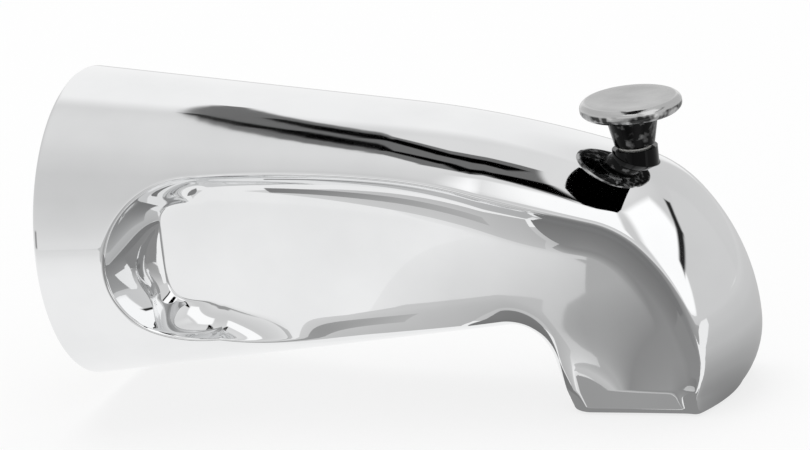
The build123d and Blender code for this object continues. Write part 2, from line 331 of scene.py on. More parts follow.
def dishLine(way, target, trim):
    # from the middle of the scoop's round end out over its rim and along the cone to the target
    form = waistForm(spout["scoopStart"], trim)
    half = (form["floorTop"] - form["floorBottom"]) / 2
    flat = half - trim
    cz = bendZ + (form["floorTop"] + form["floorBottom"]) / 2
    start, floor, radius = spout["scoopStart"], spout["floorStart"], spout["scoopRound"]
    steps, wallSteps, capSteps = spout["arcSteps"], spout["wallSteps"], spout["capSteps"]

    def spot(out, side):
        return Vector((start - out * math.sin(way), side, cz + out * math.cos(way)))

    def side(turn):
        return floor + radius * (1 - math.cos(turn))

    def coneSide(out):
        p = spot(out, 0.0)
        return math.sqrt(max(0.0, coneRadius(p.x) ** 2 - p.z ** 2))

    low, high = 0.0, quarter
    if side(high) > coneSide(flat + radius):
        for _ in range(spout["halvings"]):
            turn = (low + high) / 2
            if side(turn) > coneSide(flat + radius * math.sin(turn)):
                high = turn
            else:
                low = turn
    turns = [high * n / steps for n in range(steps + 1)]
    rounding = [spot(flat + radius * math.sin(turn), side(turn)) for turn in turns]
    reach = flat + radius * math.sin(high)
    wallTop = coneSide(reach)
    rim = rounding[-1]
    if wallTop > rim.y + spout["weld"]:
        heights = [between(rim.y, wallTop, n / wallSteps) for n in range(1, wallSteps + 1)]
        rounding += [Vector((rim.x, height, rim.z)) for height in heights]
        rim = rounding[-1]
    if trim:
        # the photograph's end wall is steep and meets the floor in a crease
        square = spout["endSquare"]
        ahead, aside = math.sin(way) / spout["endReach"], abs(math.cos(way)) / half
        foot = (ahead ** square + aside ** square) ** (-1 / square)
        slope = math.atan2(rim.y - floor, reach - foot)
        crisp = min(1.0, math.sin(way) / spout["creaseFrom"])
        crisp = crisp * crisp * (3 - 2 * crisp)
        turn = between(slope, math.radians(spout["creaseTurn"]), crisp)
        rounding = [spot(out, deep) for out, deep in wallArc((foot, floor), (reach, rim.y), turn)]
    turn = math.atan2(rim.y, rim.z)
    shares = [n / capSteps for n in range(capSteps + 1)]
    cone = [conePoint(between(rim.x, target[0], share), between(turn, target[1], share)) for share in shares]
    soft = between(spout["softEdge"], spout["softKeel"], way / math.pi)
    return lineOf([spot(0.0, floor), rounding[0]], rounding, cone, soft)


def bellTarget(share):
    # runs along the cone's top, down its wall end and back along its bottom
    first, start = spout["softRim"], spout["scoopStart"]
    if share <= 0.25:
        return between(start, first, share * 4), 0.0
    if share < 0.75:
        return first, math.pi * (share - 0.25) * 2
    return between(first, start, share * 4 - 3), math.pi


def bellLines(trim):
    start, count = spout["scoopStart"], spout["bellSteps"]
    upper, lower = sectionLines(start, bendZ, 0.0, waistForm(start, trim))
    dish = [dishLine(math.pi * n / count, bellTarget(n / count), trim) for n in range(1, count)]
    return [upper] + dish + [lower]


def netRows(trim):
    rows = []
    for n in range(1, spout["waistSteps"] + 1):
        x = between(spout["scoopStart"], spout["waistLength"], n / spout["waistSteps"])
        rows.append((x, bendZ, 0.0, waistForm(x, trim)))
    for n in range(1, spout["bendSteps"] + 1):
        angle = quarter * n / spout["bendSteps"]
        rows.append((bendX, bendZ, angle, bendForm(angle)))
    for n in range(1, spout["nozzleSteps"] + 1):
        z = between(bendZ, -spout["mouthDrop"] + spout["softRim"], n / spout["nozzleSteps"])
        rows.append((bendX, z, quarter, nozzleForm(z)))
    return rows


def addStrip(bm, first, second):
    # quads between two lines, and their mirror image
    for n in range(len(first) - 1):
        quad = [first[n], first[n + 1], second[n + 1], second[n]]
        for side in (1, -1):
            bm.faces.new([bm.verts.new((p.x * mm, p.y * mm * side, p.z * mm)) for p in quad])


def rimStep(n):
    # how far a rounded rim has gone inwards and onwards
    turn = quarter * n / spout["rimSteps"]
    return spout["softRim"] * (1 - math.cos(turn)), spout["softRim"] * math.sin(turn)


def roundWallRim(bm, bell):
    count, soft = spout["bellSteps"], spout["softRim"]
    first = [line[-1] for line in bell[count // 4:count * 3 // 4 + 1]]
    last = first
    for n in range(1, spout["rimSteps"] + 1):
        inward, onward = rimStep(n)
        radius = coneRadius(soft) + spout["taper"] * onward - inward
        ring = []
        for p in first:
            turn = math.atan2(p.y, p.z)
            ring.append(Vector((soft - onward, radius * math.sin(turn), radius * math.cos(turn))))
        addStrip(bm, last, ring)
        last = ring


def roundMouthLip(bm, pair):
    centre = bendX + spout["lipCentre"]
    last = pair
    for n in range(1, spout["rimSteps"] + 1):
        inward, onward = rimStep(n)
        z = -spout["mouthDrop"] + spout["softRim"] - onward
        moved = []
        for line in pair:
            pushes = [Vector((centre - p.x, -p.y, 0.0)).normalized() * inward for p in line]
            moved.append([Vector((p.x + push.x, max(0.0, p.y + push.y), z)) for p, push in zip(line, pushes)])
        for a, b in zip(last, moved):
            addStrip(bm, a, b)
        last = moved


def outerNet(trim):
    bm = bmesh.new()
    bell = bellLines(trim)
    for a, b in zip(bell, bell[1:]):
        addStrip(bm, a, b)
    last = (bell[0], bell[-1])
    for row in netRows(trim):
        pair = sectionLines(*row)
        for a, b in zip(last, pair):
            addStrip(bm, a, b)
        last = pair
    roundWallRim(bm, bell)
    roundMouthLip(bm, last)
    bmesh.ops.remove_doubles(bm, verts=bm.verts, dist=spout["weld"] * mm)
    bmesh.ops.recalc_face_normals(bm, faces=bm.faces)
    return bm


def loosePatches(bm):
    left = set(bm.faces)
    while left:
        patch, todo = [], [left.pop()]
        while todo:
            face = todo.pop()
            patch.append(face)
            for vert in face.verts:
                for near in vert.link_faces:
                    if near in left:
                        left.remove(near)
                        todo.append(near)
        yield patch


def innerFaces(outside):
    # the solid's faces that are not part of the outside: waterway, bulkhead, port, pad and hole
    bm = bmesh.new()
    bm.from_mesh(nodes["spout_body"].data)
    tree = BVHTree.FromBMesh(outside)
    wall, mouth = spout["flatGap"] * mm, (spout["flatGap"] - spout["mouthDrop"]) * mm
    drop = []
    for patch in list(loosePatches(bm)):
        gaps = sorted(tree.find_nearest(face.calc_center_median())[3] for face in patch)
        onSkin = gaps[len(gaps) // 2] < spout["skinGap"] * mm
        spots = [vert.co for face in patch for vert in face.verts]
        onWall = max(p.x for p in spots) < wall
        onMouth = max(p.z for p in spots) < mouth
        if onSkin or onWall or onMouth:
            drop += patch
    bmesh.ops.delete(bm, geom=drop, context="FACES")
    bmesh.ops.remove_doubles(bm, verts=bm.verts, dist=spout["weld"] * mm)
    return bm


def fillFlat(bm, test):
    # closes a flat ring between two open loops
    edges = [e for e in bm.edges if e.is_boundary and all(test(v.co) for v in e.verts)]
    made = bmesh.ops.triangle_fill(bm, use_beauty=True, edges=edges)
    return [g for g in made["geom"] if isinstance(g, bmesh.types.BMFace)]


def makeCasting():
    solidNet = outerNet(0.0)
    inside = innerFaces(solidNet)
    solidNet.free()
    bm = outerNet(spout["scoopTrim"])
    spare = bpy.data.meshes.new("castingInside")
    inside.to_mesh(spare)
    inside.free()
    bm.from_mesh(spare)
    bpy.data.meshes.remove(spare)
    wallRing = fillFlat(bm, lambda p: p.x < spout["openGap"] * mm)
    lipRing = fillFlat(bm, lambda p: p.z < (spout["openGap"] - spout["mouthDrop"]) * mm)
    bmesh.ops.recalc_face_normals(bm, faces=wallRing + lipRing)
    for ring, outward in ((wallRing, Vector((-1, 0, 0))), (lipRing, Vector((0, 0, -1)))):
        for face in ring:
            if face.normal.dot(outward) < 0:
                face.normal_flip()
    print("casting:", len(bm.faces), "faces,", len(wallRing), "on the wall ring,", len(lipRing), "on the lip")
    made = meshObject("castSpout", bm)
    smoothBy(made, spout["sharpTurn"])
    return made


castSpout = makeCasting()


# knob: turned from a profile with rounded corners

knob = {
    "foot": 4.2, "neck": 5.6, "neckHeight": 6.8, "bore": 2.05, "grip": 5.5,
    "disc": 10.65, "bevel": 0.9, "flatRing": 1.8, "dish": 0.4,
    "softBore": 0.1, "softFoot": 0.3, "softNeck": 0.6, "softDisc": 0.5, "softDish": 0.6,
    "softSteps": 5, "around": 128, "sharpTurn": 40,
}


def turned(name, profile, x, around):
    # profile of (radius, height), open ends on the axis
    bm = bmesh.new()
    rings = []
    for radius, height in profile:
        ring = []
        for n in range(around if radius > 0 else 1):
            turn = 2 * math.pi * n / around
            spot = Vector((x + radius * math.cos(turn), radius * math.sin(turn), height))
            ring.append(bm.verts.new(spot * mm))
        rings.append(ring)
    for a, b in zip(rings, rings[1:]):
        for n in range(around):
            m = (n + 1) % around
            spots = [a[n % len(a)], a[m % len(a)], b[m % len(b)], b[n % len(b)]]
            bm.faces.new(list(dict.fromkeys(spots)))
    bmesh.ops.recalc_face_normals(bm, faces=bm.faces)
    return meshObject(name, bm)


def softProfile(corners, steps):
    # corners of (radius, height, cut), each rounded by its own cut
    spots = [Vector((radius, height, 0.0)) for radius, height, cut in corners]
    out = []
    for n, (radius, height, cut) in enumerate(corners):
        if cut > 0:
            a = spots[n] + (spots[n - 1] - spots[n]).normalized() * cut
            b = spots[n] + (spots[n + 1] - spots[n]).normalized() * cut
            out += cornerCurve(a, spots[n], b, steps)
        else:
            out.append(spots[n])
    return [(p.x, p.y) for p in out]


def makeKnob():
    low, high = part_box("lift_knob")
    base, top, x = low.z / mm, high.z / mm, (low.x + high.x) / 2 / mm
    under, grip = base + knob["neckHeight"], base + knob["grip"]
    disc, bevel, soft = knob["disc"], knob["bevel"], knob["softDisc"]
    rim = disc - bevel
    corners = [
        (0, grip, 0), (knob["bore"], grip, 0), (knob["bore"], base, knob["softBore"]),
        (knob["foot"], base, knob["softFoot"]), (knob["neck"], under, knob["softNeck"]), (rim, under, soft),
        (disc, under + bevel, soft), (disc, top - bevel, soft), (rim, top, soft),
        (rim - knob["flatRing"], top, knob["softDish"]), (0, top - knob["dish"], 0),
    ]
    made = turned("liftKnob", softProfile(corners, knob["softSteps"]), x, knob["around"])
    smoothBy(made, knob["sharpTurn"])
    return made


liftKnob = makeKnob()
print("knob:", len(liftKnob.data.polygons), "faces")


# pipe thread in the bushing's bore, swept along a helix by geometry nodes

pipeThread = {
    "radius": 9.15, "pitch": 1.814, "depth": 0.75, "start": 6.6, "end": 23.4, "perTurn": 64, "ridgeSides": 4,
}


def socketId(tree, name):
    return next(item.identifier for item in tree.interface.items_tree
                if getattr(item, "in_out", "") == "INPUT" and item.name == name)


def threadTree(material):
    tree = bpy.data.node_groups.new("pipeThread", "GeometryNodeTree")
    addSockets(tree, "INPUT", "Geometry", "Geometry")
    addSockets(tree, "INPUT", "Float", "Turns", "Radius", "Length", "Depth", "Start")
    addSockets(tree, "INPUT", "Int", "Per turn")
    addSockets(tree, "OUTPUT", "Geometry", "Geometry")
    new, link = tree.nodes.new, tree.links.new
    given, out = new("NodeGroupInput"), new("NodeGroupOutput")
    helix = new("GeometryNodeCurveSpiral")
    for label, socket in (("Turns", "Rotations"), ("Per turn", "Resolution"), ("Radius", "Start Radius"),
                          ("Radius", "End Radius"), ("Length", "Height")):
        link(given.outputs[label], helix.inputs[socket])
    ridge = addNode(tree, "GeometryNodeCurvePrimitiveCircle", Resolution=pipeThread["ridgeSides"])
    ridge.mode = "RADIUS"
    link(given.outputs["Depth"], ridge.inputs["Radius"])
    sweep = new("GeometryNodeCurveToMesh")
    sweep.inputs["Fill Caps"].default_value = True
    link(helix.outputs["Curve"], sweep.inputs["Curve"])
    link(ridge.outputs["Curve"], sweep.inputs["Profile Curve"])
    lay = addNode(tree, "GeometryNodeTransform", Rotation=(0, quarter, 0))
    place = new("ShaderNodeCombineXYZ")
    link(given.outputs["Start"], place.inputs["X"])
    link(place.outputs["Vector"], lay.inputs["Translation"])
    link(sweep.outputs["Mesh"], lay.inputs["Geometry"])
    real = new("GeometryNodeRealizeInstances")
    paint = addNode(tree, "GeometryNodeSetMaterial", Material=material)
    link(lay.outputs["Geometry"], real.inputs["Geometry"])
    link(real.outputs["Geometry"], paint.inputs["Geometry"])
    link(paint.outputs["Geometry"], out.inputs["Geometry"])
    return tree


def makeThread(material):
    start, radius, depth = pipeThread["start"], pipeThread["radius"], pipeThread["depth"]
    length = pipeThread["end"] - start
    tree = threadTree(material)
    holder = meshObject("threadHolder", bmesh.new())
    mod = holder.modifiers.new("thread", "NODES")
    mod.node_group = tree
    sizes = {"Turns": length / pipeThread["pitch"], "Per turn": pipeThread["perTurn"], "Radius": radius * mm,
             "Length": length * mm, "Depth": depth * mm, "Start": start * mm}
    for name, value in sizes.items():
        mod[socketId(tree, name)] = value
    ready = holder.evaluated_get(bpy.context.evaluated_depsgraph_get())
    mesh = bpy.data.meshes.new_from_object(ready)
    bpy.data.objects.remove(holder)
    return newObject("inletThread", mesh)


# finishes: each has its shades, the scales of its patches and specks per metre, its gloss, and the
# height of its bumps in metres

def mapped(tree, value, low, high, start=0.0, end=1.0):
    node = tree.nodes.new("ShaderNodeMapRange")
    for label, size in (("From Min", low), ("From Max", high), ("To Min", start), ("To Max", end)):
        node.inputs[label].default_value = size
    tree.links.new(value, node.inputs["Value"])
    return node.outputs["Result"]


def mixed(tree, factor, first, second):
    # each of the two is a grey shade, a colour or another node's output
    node = tree.nodes.new("ShaderNodeMix")
    node.data_type = "RGBA"
    tree.links.new(factor, node.inputs["Factor"])
    for label, shade in (("A", first), ("B", second)):
        if isinstance(shade, bpy.types.NodeSocket):
            tree.links.new(shade, node.inputs[label])
        else:
            node.inputs[label].default_value = shade if isinstance(shade, tuple) else (shade, shade, shade, 1)
    return node.outputs["Result"]


def calculated(tree, operation, first, second):
    node = tree.nodes.new("ShaderNodeMath")
    node.operation = operation
    for socket, value in zip(node.inputs, (first, second)):
        if isinstance(value, bpy.types.NodeSocket):
            tree.links.new(value, socket)
        else:
            socket.default_value = value
    return node.outputs["Value"]


def noiseMask(tree, coords, scale, detail, low, high):
    node = addNode(tree, "ShaderNodeTexNoise", Scale=scale, Detail=detail)
    tree.links.new(coords, node.inputs["Vector"])
    return mapped(tree, node.outputs["Fac"], low, high)


def axisDistance(tree, coords, centre, across):
    # distance from an axis through the centre; across has a 1 for each way that counts
    flat, length = tree.nodes.new("ShaderNodeVectorMath"), tree.nodes.new("ShaderNodeVectorMath")
    flat.operation, length.operation = "MULTIPLY_ADD", "LENGTH"
    flat.inputs[1].default_value = across
    flat.inputs[2].default_value = [-place * share for place, share in zip(centre, across)]
    tree.links.new(coords, flat.inputs[0])
    tree.links.new(flat.outputs["Vector"], length.inputs[0])
    return length.outputs["Value"]


smudging = {
    "patchDetail": 3.0, "patchRough": 0.55, "patchFrom": 0.38, "patchTo": 0.68,
    "speckDetail": 2.0, "speckShare": 0.25,
}


def makeSmudge():
    # soft handled patches and fine specks, for roughness and a faint height
    look = smudging
    tree = bpy.data.node_groups.new("smudge", "ShaderNodeTree")
    addSockets(tree, "INPUT", "Float", "Patch scale", "Speck scale", "Low", "High")
    addSockets(tree, "OUTPUT", "Float", "Roughness", "Height", "Mask")
    new, link = tree.nodes.new, tree.links.new
    given, out, coords = new("NodeGroupInput"), new("NodeGroupOutput"), new("ShaderNodeTexCoord")
    patch = addNode(tree, "ShaderNodeTexNoise", Detail=look["patchDetail"], Roughness=look["patchRough"])
    speck = addNode(tree, "ShaderNodeTexNoise", Detail=look["speckDetail"])
    for noise, label in ((patch, "Patch scale"), (speck, "Speck scale")):
        link(coords.outputs["Object"], noise.inputs["Vector"])
        link(given.outputs[label], noise.inputs["Scale"])
    mask = mapped(tree, patch.outputs["Fac"], look["patchFrom"], look["patchTo"])
    specks = calculated(tree, "MULTIPLY", speck.outputs["Fac"], look["speckShare"])
    rough = new("ShaderNodeMapRange")
    rough.inputs["From Max"].default_value = 1 + look["speckShare"]
    link(calculated(tree, "ADD", specks, mask), rough.inputs["Value"])
    link(given.outputs["Low"], rough.inputs["To Min"])
    link(given.outputs["High"], rough.inputs["To Max"])
    link(rough.outputs["Result"], out.inputs["Roughness"])
    link(patch.outputs["Fac"], out.inputs["Height"])
    link(mask, out.inputs["Mask"])
    return tree


smudge = makeSmudge()


def newFinish(name, look):
    # smudged gloss, and a tint and a faint height where the look has them
    mat = bpy.data.materials.new(name)
    mat.use_nodes = True
    mat.diffuse_color = look["light"]
    tree = mat.node_tree
    shader = tree.nodes["Principled BSDF"]
    shader.inputs["Base Color"].default_value = look["light"]
    shader.inputs["Metallic"].default_value = look["metallic"]
    new, link = tree.nodes.new, tree.links.new
    group = new("ShaderNodeGroup")
    group.node_tree = smudge
    for label, key in (("Patch scale", "patch"), ("Speck scale", "speck"),
                       ("Low", "smooth"), ("High", "rough")):
        group.inputs[label].default_value = look[key]
    link(group.outputs["Roughness"], shader.inputs["Roughness"])
    if "dark" in look:
        link(mixed(tree, group.outputs["Mask"], look["light"], look["dark"]), shader.inputs["Base Color"])
    if "bump" in look:
        height = addNode(tree, "ShaderNodeBump", Strength=1.0, Distance=look["bump"])
        link(group.outputs["Height"], height.inputs["Height"])
        link(height.outputs["Normal"], shader.inputs["Normal"])
    return mat, tree, shader


def objectCoords(tree):
    coords, split = tree.nodes.new("ShaderNodeTexCoord"), tree.nodes.new("ShaderNodeSeparateXYZ")
    tree.links.new(coords.outputs["Object"], split.inputs["Vector"])
    return coords.outputs["Object"], split.outputs


chrome = {
    "light": (0.90, 0.905, 0.91, 1), "dark": (0.86, 0.865, 0.87, 1), "metallic": 1.0,
    "patch": 45.0, "speck": 1400.0, "smooth": 0.02, "rough": 0.045, "bump": 0.00001,
    "padRadius": 4.85, "padShade": 0.015,  # painted shade on the pad that the knob stands over
    "socketDepth": 12.3, "socketRadius": 31.4, "dullShade": 0.56, "dullRough": 0.4,  # unpolished wall end
    "edge": 0.1,  # half the width of both soft borders
}


def chromePlate():
    mat, tree, shader = newFinish("chromePlate", chrome)
    colour, rough = (shader.inputs[label].links[0].from_socket for label in ("Base Color", "Roughness"))
    spot, ways = objectCoords(tree)

    def within(value, limit):
        return mapped(tree, value, (limit - chrome["edge"]) * mm, (limit + chrome["edge"]) * mm, 1.0, 0.0)

    low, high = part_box("rod_bush")
    rodAxis = ((low.x + high.x) / 2, 0, 0)
    pad = within(axisDistance(tree, spot, rodAxis, (1, 1, 0)), chrome["padRadius"])
    shallow = within(ways["X"], chrome["socketDepth"])
    narrow = within(axisDistance(tree, spot, (0, 0, 0), (0, 1, 1)), chrome["socketRadius"])
    dull = calculated(tree, "MULTIPLY", shallow, narrow)
    # painted shade: the pad under the knob is coloured near-black
    colour = mixed(tree, pad, mixed(tree, dull, colour, chrome["dullShade"]), chrome["padShade"])
    tree.links.new(colour, shader.inputs["Base Color"])
    tree.links.new(mixed(tree, dull, rough, chrome["dullRough"]), shader.inputs["Roughness"])
    return mat


knobTarnishAndShade = {
    "light": (0.55, 0.55, 0.56, 1), "metallic": 1.0,
    "patch": 160.0, "speck": 2600.0, "smooth": 0.12, "rough": 0.24, "bump": 0.00001,
    # painted light and shade: grey reflection on top, highlight on the rim, dark side of the disc, and shade
    # on the stem with grey flecks
    "topDark": 0.357, "topLight": 0.462, "rimHighlight": 0.62, "stemShade": 0.012, "fleck": 0.15, "edge": 0.05,
    "topNoise": (120.0, 4.0, 0.3, 0.7),  # scale, detail, and the part of the noise that shows
    "fleckNoise": (520.0, 3.0, 0.52, 0.66), "edgeNoise": (330.0, 2.0, 0.44, 0.56),
    "rimWidth": 1.4, "rimFade": 0.56, "topBand": 1.08, "stemBand": 0.1, "fade": 0.3,
}


def knobPlate():
    # plating with painted light and shade: a painted highlight on the rim, a painted grey reflection on top,
    # a painted dark side, and painted shade with grey flecks below the disc
    look, fade = knobTarnishAndShade, knobTarnishAndShade["fade"] * mm
    mat, tree, shader = newFinish("knobPlate", look)
    spot, ways = objectCoords(tree)
    low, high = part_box("lift_knob")
    radius = axisDistance(tree, spot, ((low.x + high.x) / 2, 0, 0), (1, 1, 0))
    # painted grey reflection on the top, a painted highlight towards the rim, and a painted dark side
    face = mixed(tree, noiseMask(tree, spot, *look["topNoise"]), look["topDark"], look["topLight"])
    rimStart = (knob["disc"] - look["rimWidth"]) * mm
    face = mixed(tree, mapped(tree, radius, rimStart, rimStart + look["rimFade"] * mm), face, look["rimHighlight"])
    side = mixed(tree, noiseMask(tree, spot, *look["edgeNoise"]), look["edge"], look["rimHighlight"])
    topStart = high.z - look["topBand"] * mm
    disc = mixed(tree, mapped(tree, ways["Z"], topStart - fade, topStart), side, face)
    # painted shade on the stem below the disc, with grey flecks
    stemShade = mixed(tree, noiseMask(tree, spot, *look["fleckNoise"]), look["stemShade"], look["fleck"])
    discStart = low.z + (knob["neckHeight"] + look["stemBand"]) * mm
    whole = mixed(tree, mapped(tree, ways["Z"], discStart, discStart + fade), stemShade, disc)
    tree.links.new(whole, shader.inputs["Base Color"])
    return mat


brass = {
    "light": (0.74, 0.55, 0.26, 1), "dark": (0.60, 0.42, 0.17, 1), "metallic": 1.0,
    "patch": 220.0, "speck": 1800.0, "smooth": 0.22, "rough": 0.40,
    "ringScale": 900.0, "ringWaver": 0.6, "ringStrength": 0.25, "ringDepth": 0.00003,  # tool marks
}


def machinedBrass():
    mat, tree, shader = newFinish("machinedBrass", brass)
    rings = addNode(tree, "ShaderNodeTexWave", Scale=brass["ringScale"], Distortion=brass["ringWaver"])
    rings.wave_type, rings.rings_direction = "RINGS", "X"
    height = addNode(tree, "ShaderNodeBump", Strength=brass["ringStrength"], Distance=brass["ringDepth"])
    tree.links.new(objectCoords(tree)[0], rings.inputs["Vector"])
    tree.links.new(rings.outputs["Fac"], height.inputs["Height"])
    tree.links.new(height.outputs["Normal"], shader.inputs["Normal"])
    return mat


steel = {
    "light": (0.66, 0.66, 0.67, 1), "dark": (0.52, 0.52, 0.53, 1), "metallic": 1.0,
    "patch": 300.0, "speck": 3000.0, "smooth": 0.2, "rough": 0.36,
}
rubber = {
    "light": (0.032, 0.032, 0.033, 1), "dark": (0.018, 0.018, 0.019, 1), "metallic": 0.0,
    "patch": 400.0, "speck": 4000.0, "smooth": 0.55, "rough": 0.8, "bump": 0.00002,
}
plastic = {
    "light": (0.80, 0.80, 0.77, 1), "dark": (0.74, 0.74, 0.70, 1), "metallic": 0.0,
    "patch": 250.0, "speck": 3500.0, "smooth": 0.35, "rough": 0.55, "bump": 0.00001,
}
finishes = {
    "chrome_plate": chromePlate(), "knob_plate": knobPlate(), "brass": machinedBrass(),
    "steel": newFinish("drawnSteel", steel)[0], "rubber": newFinish("sealRubber", rubber)[0],
    "white_plastic": newFinish("mouldedPlastic", plastic)[0],
}


def dress(made, slotName):
    made.data.materials.clear()
    made.data.materials.append(finishes[slotName])


for part in frame["record"]["subparts"]:
    dress(nodes[part["node"]], part["material_slot"])
dress(castSpout, "chrome_plate")
dress(liftKnob, "knob_plate")
inletThread = makeThread(finishes["brass"])
print("finishes:", len(finishes), "thread faces:", len(inletThread.data.polygons))

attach(castSpout, "spout")
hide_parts("spout_body")
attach(liftKnob, "diverter")
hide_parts("lift_knob")
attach(inletThread, "spout")


# stage: pale floor, soft light, and the surroundings that the chrome shows

stage = {"floorLevel": -37.9, "floorSize": 6.0, "white": 0.86, "veil": 0.75, "fill": 0.75, "sheetStep": 0.02}

# shades of the surroundings by height, from straight down at 0 to straight up at 1
skyShades = (
    (0.0, 0.90), (0.50, 0.80), (0.56, 0.75), (0.61, 0.72),
    (0.75, 0.66), (0.88, 0.66), (0.95, 0.72), (0.98, 0.77),
)

# cards around the spout; corners are bearings in degrees, from the front (-Y) towards the nose, and rises
roomCards = (
    {"name": "backWhite", "soft": 0.12, "shade": 0.95,
     "corners": ((182, -6), (182, 66), (222, 58), (222, -6))},
    {"name": "sideWhite", "soft": 0.06, "shade": 1.12, "corners": ((46, -2), (44, 60), (104, 58), (84, -2))},
    {"name": "hoodWhite", "soft": 0.03, "shade": 1.08, "corners": ((-7, 43), (-7, 63), (32, 63), (32, 30))},
    {"name": "doorway", "soft": 0.02, "shade": 0.34, "corners": ((-28, -3), (-28, 9), (-15, 9), (-15, -3))},
    {"name": "rightWall", "soft": 0.02, "shade": 0.68,
     "corners": ((69, -12), (74, 19), (142, 42), (142, -12))},
    {"name": "backWall", "soft": 0.05, "shade": 0.66,
     "corners": ((138, -12), (138, 41), (181, 30), (181, -12))},
    {"name": "wallEdgeLow", "soft": 0.02, "shade": 0.02, "corners": ((71, 15), (73, 22), (97, 35), (97, 30))},
    {"name": "wallEdgeHigh", "soft": 0.02, "shade": 0.02,
     "corners": ((95, 29), (95, 34), (117, 47), (117, 42))},
)

# a beam overhead with two dark lines along it; corners are level distances for each unit of height
overheadCards = (
    {"name": "beamHigh", "soft": 0.002, "shade": 0.16,
     "corners": ((-0.345, 0.720), (-0.337, 0.720), (-0.203, 0.235), (-0.180, -0.160))},
    {"name": "beamTurn", "soft": 0.004, "shade": 0.16,
     "corners": ((-0.209, 0.245), (-0.094, 0.030), (-0.115, -0.315), (-0.185, -0.140))},
    {"name": "beamLow", "soft": 0.006, "shade": 0.16,
     "corners": ((-0.100, 0.040), (0.006, -0.035), (0.010, -0.490), (-0.124, -0.305))},
    {"name": "upperLine1", "soft": 0.0015, "shade": 0.0,
     "corners": ((-0.275, 0.450), (-0.270, 0.450), (-0.191, 0.158), (-0.207, 0.152))},
    {"name": "upperLine2", "soft": 0.004, "shade": 0.0,
     "corners": ((-0.212, 0.162), (-0.188, 0.175), (-0.080, -0.050), (-0.107, -0.075))},
    {"name": "upperLine3", "soft": 0.006, "shade": 0.0,
     "corners": ((-0.108, -0.075), (-0.088, -0.030), (-0.005, -0.105), (-0.030, -0.190))},
    {"name": "lowerLine1", "soft": 0.0015, "shade": 0.0,
     "corners": ((-0.288, 0.410), (-0.283, 0.410), (-0.225, 0.190), (-0.239, 0.200))},
    {"name": "lowerLine2", "soft": 0.002, "shade": 0.0,
     "corners": ((-0.239, 0.215), (-0.226, 0.205), (-0.166, -0.080), (-0.183, -0.085))},
    {"name": "lowerLine3", "soft": 0.004, "shade": 0.0,
     "corners": ((-0.188, -0.062), (-0.162, -0.076), (-0.070, -0.235), (-0.096, -0.258))},
    {"name": "lowerLine4", "soft": 0.005, "shade": 0.0,
     "corners": ((-0.098, -0.225), (-0.070, -0.240), (-0.038, -0.330), (-0.065, -0.375))},
    {"name": "lowerLine5", "soft": 0.008, "shade": 0.0,
     "corners": ((-0.066, -0.300), (0.012, -0.275), (0.030, -0.470), (-0.050, -0.400))},
)

# sheets on the floor that only the chrome sees; each corner is a place in mm and its shade
wideSheets = (
    {"name": "frontSheet",
     "corners": ((-600, -600, 0.75), (900, -600, 0.75), (900, -300, 0.80), (-600, -300, 0.80))},
    {"name": "nearFront",
     "corners": ((-600, -300, 0.80), (900, -300, 0.80), (900, -100, 0.92), (-600, -100, 0.92))},
    {"name": "whiteSheet",
     "corners": ((-600, -100, 0.92), (900, -100, 0.92), (900, 600, 0.95), (-600, 600, 0.95))},
)
nearSheets = (
    {"name": "paleSheet",
     "corners": ((50, -220, 0.90), (82, -220, 0.50), (88, -20, 0.54), (52, -60, 0.86))},
    {"name": "bandSheet",
     "corners": ((20, -46, 0.72), (40, -66, 0.70), (58, -82, 0.62), (76, -84, 0.56), (84, -50, 0.50),
                 (81, -12, 0.50), (45, -28, 0.60))},
    {"name": "greySheet",
     "corners": ((82, -6, 0.18), (87, -52, 0.26), (81, -70, 0.38), (79, -87, 0.46), (80, -97, 0.44),
                 (76, -112, 0.44), (56, -121, 0.56), (46, -147, 0.58), (30, -162, 0.58), (5, -250, 0.56),
                 (-40, -400, 0.54), (-110, -600, 0.56), (260, -600, 0.45), (330, -70, 0.42), (120, -36, 0.34),
                 (104, -6, 0.20))},
    {"name": "darkSheet",
     "corners": ((27, -34, 0.22), (46, -34, 0.30), (68, -32, 0.48), (68, -48, 0.48), (46, -50, 0.30),
                 (27, -50, 0.22))},
    {"name": "lipSheet",
     "corners": ((98, -8, 0.27), (140, -10, 0.27), (137, -27, 0.27), (98, -36, 0.27))},
    {"name": "brightSheet",
     "corners": ((126, -29, 0.95), (150, -26, 0.95), (300, -36, 0.95), (420, -60, 0.95), (400, -90, 0.95),
                 (220, -66, 0.95), (126, -56, 0.95))},
)

# the shade on the floor round the nozzle's foot grows lighter outwards: radius in mm and shade
footShade = {
    "x": 133, "y": -3, "first": -75, "last": 140, "step": 12,
    "rings": ((6, 0.20), (12, 0.27), (20, 0.36), (35, 0.45),
              (60, 0.55), (130, 0.62), (400, 0.68), (850, 0.68)),
}

# a dark board hung above the knob; each corner is a place in mm
darkBoard = {
    "height": 150, "shade": 0.0,
    "corners": ((120.5, 27), (167, 12), (174, -70), (169, -85), (119.5, -85), (116.7, -50)),
}

softTop = {"place": (-0.1, 0.25, 1.1), "target": (0.07, 0, 0), "size": (0.9, 0.9), "power": 6.0}

# the photograph's camera: place in mm, and angles in degrees
photoCamera = {
    "sensor": 36.0, "lens": 210.66, "near": 0.01, "far": 50.0,
    "place": (431.3, -886.6, 294.9), "bearing": 22.1156, "tilt": 17.2152, "roll": -7.0067,
}


def seenRay(tree):
    # 1 for camera, glossy and transmission rays
    path = tree.nodes.new("ShaderNodeLightPath").outputs
    seen = calculated(tree, "MAXIMUM", path["Is Camera Ray"], path["Is Glossy Ray"])
    return calculated(tree, "MAXIMUM", seen, path["Is Transmission Ray"])


def emptyMaterial(name):
    mat = bpy.data.materials.new(name)
    mat.use_nodes = True
    mat.node_tree.nodes.clear()
    return mat, mat.node_tree


